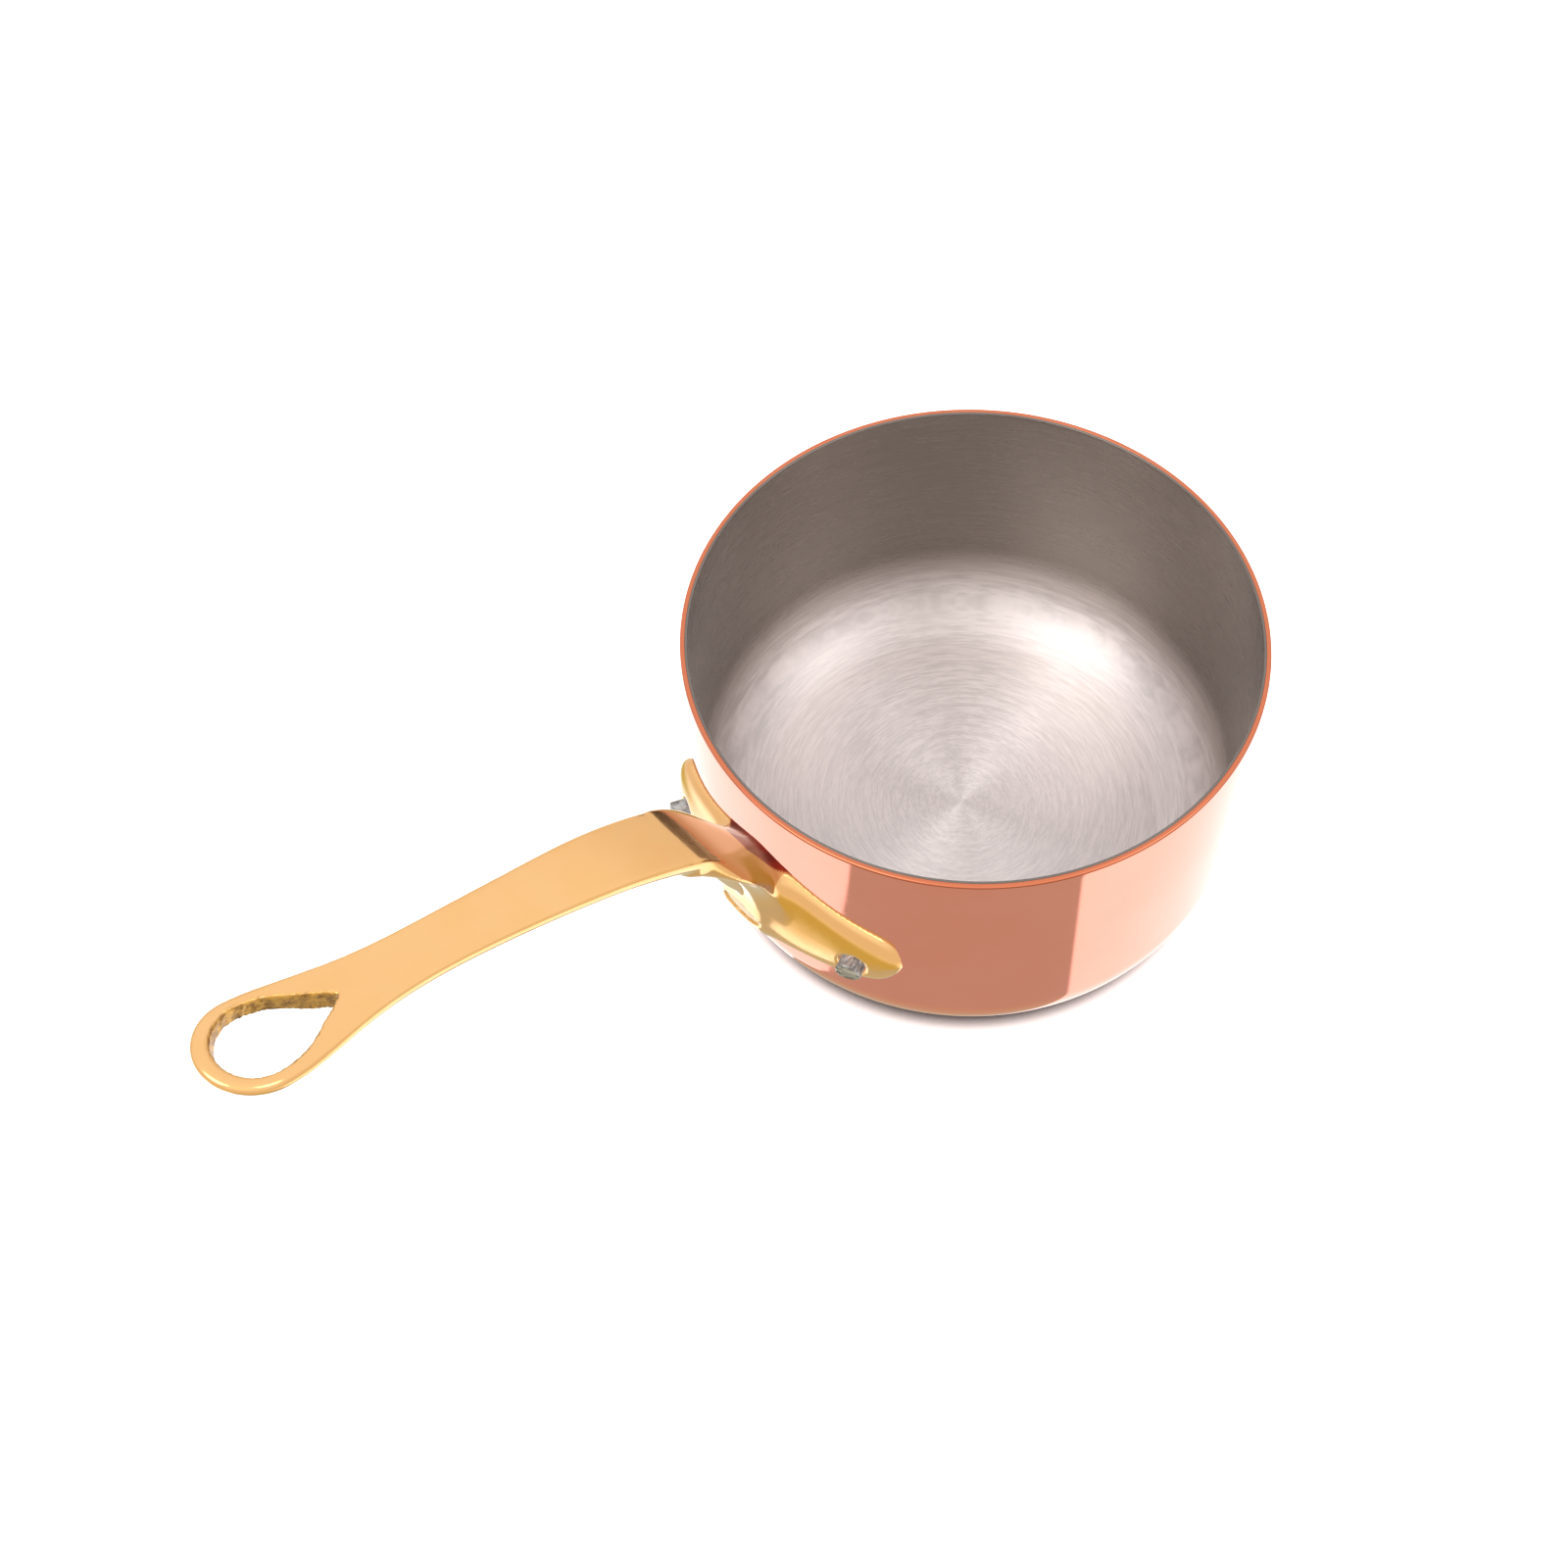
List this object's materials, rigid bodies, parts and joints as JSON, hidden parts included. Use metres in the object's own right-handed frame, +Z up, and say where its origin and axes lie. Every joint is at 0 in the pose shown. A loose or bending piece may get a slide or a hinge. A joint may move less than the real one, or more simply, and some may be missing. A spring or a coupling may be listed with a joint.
{
  "type": "saucepan",
  "caption": "Small round straight-sided copper saucepan with a steel-lined bowl and a long cast brass handle that ends in a hanging loop.",
  "frame": {"origin": "centre of the flat base, on the plane the pan rests on", "axes": "+Z up out of the bowl, +X along the handle, +Y across it"},
  "size_m": [0.1761, 0.09, 0.0887],
  "materials": {
    "copper": "mirror-polished copper",
    "brushed_lining": "circular brushed stainless steel",
    "brass": "cast, then polished",
    "rivet_steel": "sheared, left rough"
  },
  "bodies": {
    "root": {"copper_shell": "copper", "steel_lining": "brushed_lining", "brass_handle": "brass", "rivet_left": "rivet_steel", "rivet_right": "rivet_steel"}
  },
  "joints": []
}
